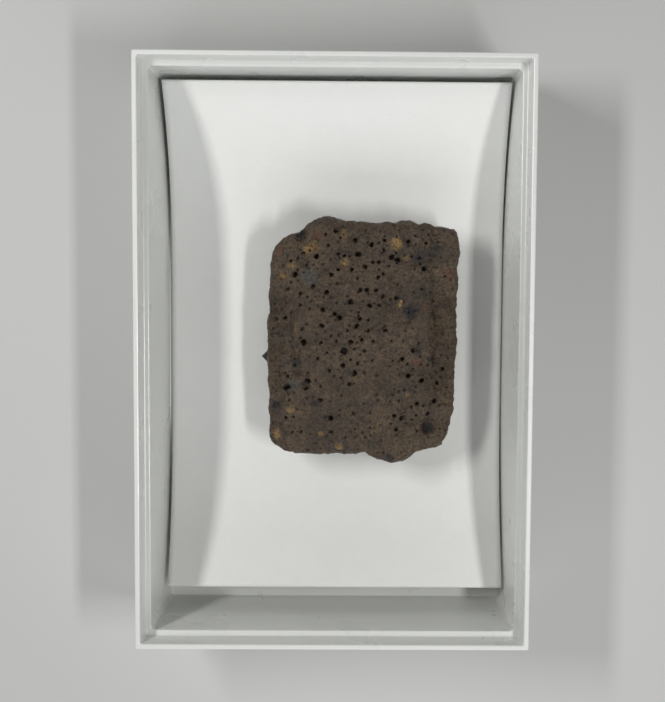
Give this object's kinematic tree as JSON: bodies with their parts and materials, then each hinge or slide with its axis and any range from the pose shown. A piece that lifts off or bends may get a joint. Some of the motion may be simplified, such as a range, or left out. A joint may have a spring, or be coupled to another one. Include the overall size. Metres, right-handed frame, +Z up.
{
  "type": "fossil giant armadillo scute",
  "caption": "Thick pitted plate of brown fossil bone with nearly straight sides, held up on a foam pad over a bare bowed paper card in a small open white tray.",
  "frame": {"origin": "middle of the tray's flat underside", "axes": "+Y along the tray, towards the end that the card climbs higher at; +X across it; +Z up, out of the tray's mouth"},
  "size_m": [0.0508, 0.0762, 0.018],
  "materials": {
    "tray": "smooth moulded polystyrene, softly glossy",
    "card": "plain white printer paper, faintly satin",
    "pad": "fine closed foam, dull",
    "scute": "mineralised bone, finely grained with small glints"
  },
  "bodies": {
    "root": {"tray": "tray", "label_card": "card", "mounting_pad": "pad", "scute": "scute"}
  },
  "joints": []
}
